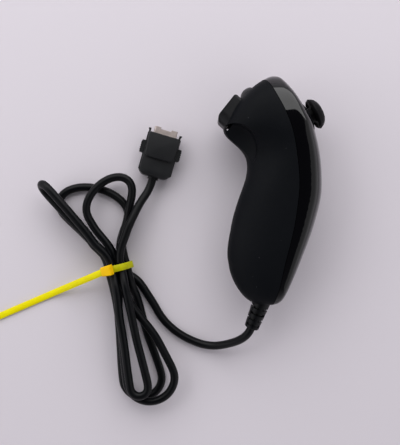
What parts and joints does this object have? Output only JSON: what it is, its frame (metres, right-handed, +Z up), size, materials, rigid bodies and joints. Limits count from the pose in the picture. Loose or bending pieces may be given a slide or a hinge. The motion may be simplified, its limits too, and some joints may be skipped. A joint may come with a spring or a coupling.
{
  "type": "one-handed motion game controller",
  "caption": "Egg-shaped hand-held motion controller with a thumbstick, two front buttons and a tied cord ending in a latching plug.",
  "frame": {"origin": "centre of the handset's box at its underside, as it lies on its side, without the cord and plug", "axes": "+X towards the thumbstick side, +Y towards the stick end along the grip, +Z up from the surface it lies on"},
  "size_m": [0.1731, 0.1659, 0.038],
  "materials": {
    "shell_matt": "satin black moulded plastic",
    "shell_gloss": "gloss black moulded plastic",
    "button_black": "satin black moulded plastic",
    "rubber_black": "matt soft-touch plastic",
    "rubber_grey": "matt silicone",
    "steel": "plain",
    "tin_plate": "folded sheet",
    "moulded_white": "moulded",
    "moulded_green": "moulded",
    "circuit_board": "resist-coated laminate",
    "chip_black": "moulded package",
    "ceramic": "fired ceramic",
    "cord_black": "smooth satin jacket",
    "tie_yellow": "smooth nylon",
    "plug_black": "satin black moulded plastic",
    "nickel": "dull nickel plate",
    "gold": "flash plated"
  },
  "bodies": {
    "handset": {"rear_shell": "shell_matt", "front_shell": "shell_gloss", "stick_gate_ring": "shell_matt", "stick_housing": "tin_plate", "stick_plunger": "moulded_white", "stick_spring": "steel", "stick_pot_tilt": "moulded_green", "stick_pot_swing": "moulded_green", "main_board": "circuit_board", "controller_chip": "chip_black", "motion_sensor": "chip_black", "board_capacitors": "ceramic", "cable_header": "moulded_white", "board_screws": "steel", "shell_screws": "steel", "button_bracket": "shell_matt", "bracket_screws": "steel", "button_board": "circuit_board", "dome_pad": "rubber_grey", "trigger_pin": "steel", "strain_relief": "cord_black", "inner_lead": "cord_black", "cord_lead": "cord_black", "cord_hank": "cord_black", "cord_plug_lead": "cord_black", "cable_tie": "tie_yellow", "plug_base": "plug_black", "plug_cover": "plug_black", "plug_shell": "nickel", "plug_contact_block": "plug_black", "plug_contacts": "gold", "plug_collar": "cord_black"},
    "lower_bail": {"stick_bail_lower": "moulded_white"},
    "stick": {"stick_cap": "rubber_black", "stick_shaft": "steel"},
    "upper_bail": {"stick_bail_upper": "moulded_white"},
    "small_button": {"small_button": "button_black"},
    "trigger": {"trigger": "button_black"},
    "latch_right": {"latch_right": "plug_black"},
    "latch_left": {"latch_left": "plug_black"}
  },
  "joints": [
    {"name": "lower_bail_turn", "type": "hinge", "parent": "handset", "child": "lower_bail", "pos_m": [0.01206, 0.03372, 0.019], "axis": [0, 0, 1], "range_deg": [-14, 14], "stiffness_Nm_per_rad": 0.02},
    {"name": "stick_rock", "type": "hinge", "parent": "lower_bail", "child": "stick", "pos_m": [0.01206, 0.03372, 0.019], "axis": [-0.4462, 0.8949, 0], "range_deg": [-14, 14], "stiffness_Nm_per_rad": 0.02},
    {"name": "upper_bail_turn", "type": "hinge", "parent": "handset", "child": "upper_bail", "pos_m": [0.01206, 0.03372, 0.019], "axis": [-0.4462, 0.8949, 0], "range_deg": [-14, 14]},
    {"name": "small_button_press", "type": "slide", "parent": "handset", "child": "small_button", "axis": [0.7455, -0.6665, 0], "range_m": [0, 0.001], "stiffness_N_per_m": 400, "springref_m": -0.001},
    {"name": "trigger_pull", "type": "hinge", "parent": "handset", "child": "trigger", "pos_m": [-0.01257, 0.0397, 0.019], "axis": [0, 0, 1], "range_deg": [0, 6], "stiffness_Nm_per_rad": 0.06, "springref_deg": -2.86},
    {"name": "latch_right_press", "type": "hinge", "parent": "handset", "child": "latch_right", "pos_m": [-0.05188, 0.0082, 0.00537], "axis": [0.1341, -0.0372, 0.9903], "range_deg": [0, 2.2], "stiffness_Nm_per_rad": 0.3, "springref_deg": -0.57},
    {"name": "latch_left_press", "type": "hinge", "parent": "handset", "child": "latch_left", "pos_m": [-0.06639, 0.01222, 0.00748], "axis": [-0.1341, 0.0372, -0.9903], "range_deg": [0, 2.2], "stiffness_Nm_per_rad": 0.3, "springref_deg": -0.57}
  ],
  "couplings": [
    {"joint": "upper_bail_turn", "follows": "stick_rock", "ratio": 1}
  ]
}
